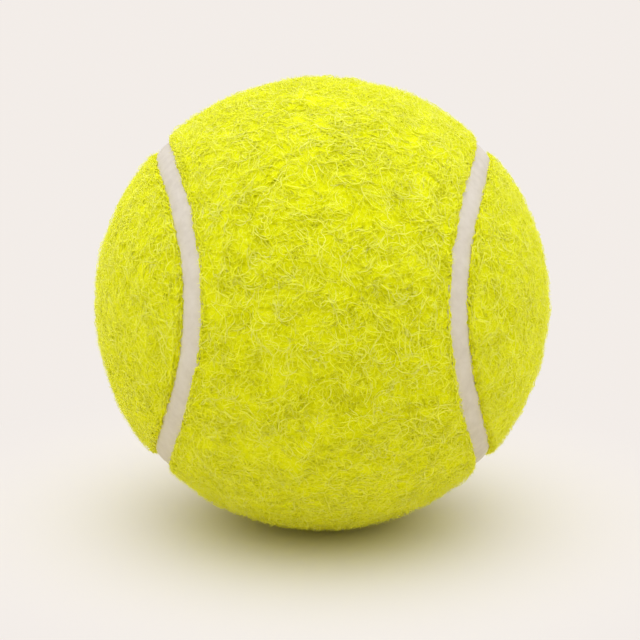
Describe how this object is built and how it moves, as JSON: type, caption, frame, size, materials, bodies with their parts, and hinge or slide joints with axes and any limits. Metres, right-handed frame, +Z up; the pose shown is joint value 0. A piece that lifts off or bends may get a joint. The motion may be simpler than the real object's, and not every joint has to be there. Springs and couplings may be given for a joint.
{
  "type": "tennis ball",
  "caption": "Hollow rubber ball under yellow-green felt panels, with a recessed white rubber seam winding round it, made to be hit with a racket.",
  "frame": {"origin": "centre of the ball", "axes": "+Z up as the ball lies; -Y towards the side with the front panel's waist, which faces 15 degrees above it; +X to the right seen from there"},
  "size_m": [0.067, 0.067, 0.067],
  "materials": {
    "core_rubber": "matte moulded rubber",
    "joint_cement": "cured rubber cement",
    "cover_cement": "cured rubber cement",
    "backing_cloth": "plain woven cotton",
    "felt_nap": "needled wool and nylon felt",
    "seam_rubber": "satin off-white rubber"
  },
  "bodies": {
    "root": {"core_half_upper": "core_rubber", "core_half_lower": "core_rubber", "core_joint_cement": "joint_cement", "cover_cement": "cover_cement", "front_backing_cloth": "backing_cloth", "rear_backing_cloth": "backing_cloth", "front_felt_nap": "felt_nap", "rear_felt_nap": "felt_nap", "seam_strip": "seam_rubber"}
  },
  "joints": []
}
